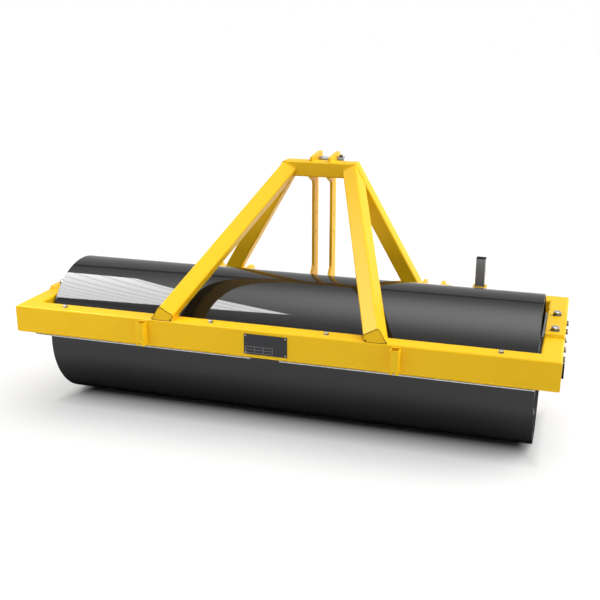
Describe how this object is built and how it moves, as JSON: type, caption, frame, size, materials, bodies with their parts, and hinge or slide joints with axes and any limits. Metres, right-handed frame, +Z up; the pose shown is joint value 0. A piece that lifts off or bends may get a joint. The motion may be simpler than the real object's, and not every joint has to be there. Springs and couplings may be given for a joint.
{
  "type": "tractor-mounted lawn roller",
  "caption": "Smooth steel drum turning in a mitred box frame, with a portal mast, sloping rear braces, hitch ears, scraper strips and a sliding parking stand",
  "frame": {"origin": "on the ground under the middle of the whole machine", "axes": "+X along the drum, +Y towards the tractor, +Z up"},
  "size_m": [2.298, 1.027, 1.091],
  "materials": {
    "frame_paint": "glossy yellow powder coat",
    "drum_paint": "charcoal satin gloss paint",
    "black_paint": "black paint",
    "zinc": "bright zinc plate",
    "galvanised": "dull galvanised steel",
    "housing_iron": "painted grey iron casting",
    "seal_rubber": "matte black rubber",
    "cap_plastic": "matte black plastic",
    "plate_aluminium": "dark printed plate, left bare"
  },
  "bodies": {
    "frame": {"rear_beam": "frame_paint", "front_beam": "frame_paint", "left_side_beam": "frame_paint", "right_side_beam": "frame_paint", "crossbar": "frame_paint", "left_mast_leg": "frame_paint", "right_mast_leg": "frame_paint", "left_rear_brace": "frame_paint", "right_rear_brace": "frame_paint", "left_brace_cap": "frame_paint", "right_brace_cap": "frame_paint", "left_mast_plate": "frame_paint", "right_mast_plate": "frame_paint", "left_hitch_ears": "frame_paint", "right_hitch_ears": "frame_paint", "left_hitch_gussets": "frame_paint", "right_hitch_gussets": "frame_paint", "left_rear_socket": "frame_paint", "right_rear_socket": "frame_paint", "left_top_plate": "frame_paint", "right_top_plate": "frame_paint", "stand_sleeve": "frame_paint", "clamp_boss": "frame_paint", "left_bearing_housing": "housing_iron", "right_bearing_housing": "housing_iron", "bearing_seals": "seal_rubber", "data_plate": "plate_aluminium", "plate_rivets": "zinc", "scraper_bolts": "zinc", "scraper_washers": "zinc", "scraper_nuts": "zinc", "bearing_outer_rings": "zinc", "bearing_balls": "zinc", "grease_nipples": "zinc", "bearing_bolts": "zinc", "bearing_washers": "zinc", "bearing_nuts": "zinc", "side_bolts": "zinc", "side_nuts": "zinc", "left_scraper": "galvanised", "right_scraper": "galvanised", "left_inner_strip": "galvanised", "right_inner_strip": "galvanised"},
    "drum": {"drum_shell": "drum_paint", "left_end_disc": "drum_paint", "right_end_disc": "drum_paint", "drum_stiffener": "drum_paint", "filler_plug": "zinc", "left_axle": "black_paint", "right_axle": "black_paint", "bearing_inner_rings": "zinc"},
    "stand": {"stand_leg": "galvanised", "stand_foot": "galvanised", "stand_cap": "cap_plastic"},
    "clamp": {"clamp_screw": "zinc", "clamp_handle": "zinc"},
    "top_pin": {"top_link_pin": "zinc"},
    "linch": {"linch_pin": "black_paint", "linch_ring": "zinc"}
  },
  "joints": [
    {"name": "drum_spin", "type": "hinge", "parent": "frame", "child": "drum", "pos_m": [0, -0.0565, 0.31], "axis": [1, 0, 0], "continuous": true},
    {"name": "stand_slide", "type": "slide", "parent": "frame", "child": "stand", "axis": [0, 0, 1], "range_m": [0, 0.345]},
    {"name": "clamp_turn", "type": "hinge", "parent": "frame", "child": "clamp", "pos_m": [0.749, 0.3555, 0.517], "axis": [0, 1, 0], "range_deg": [0, 360]},
    {"name": "top_pin_turn", "type": "hinge", "parent": "frame", "child": "top_pin", "pos_m": [0, 0.4255, 1.055], "axis": [1, 0, 0], "continuous": true},
    {"name": "linch_lift", "type": "slide", "parent": "top_pin", "child": "linch", "axis": [0, 0, 1], "range_m": [0, 0.05]}
  ]
}
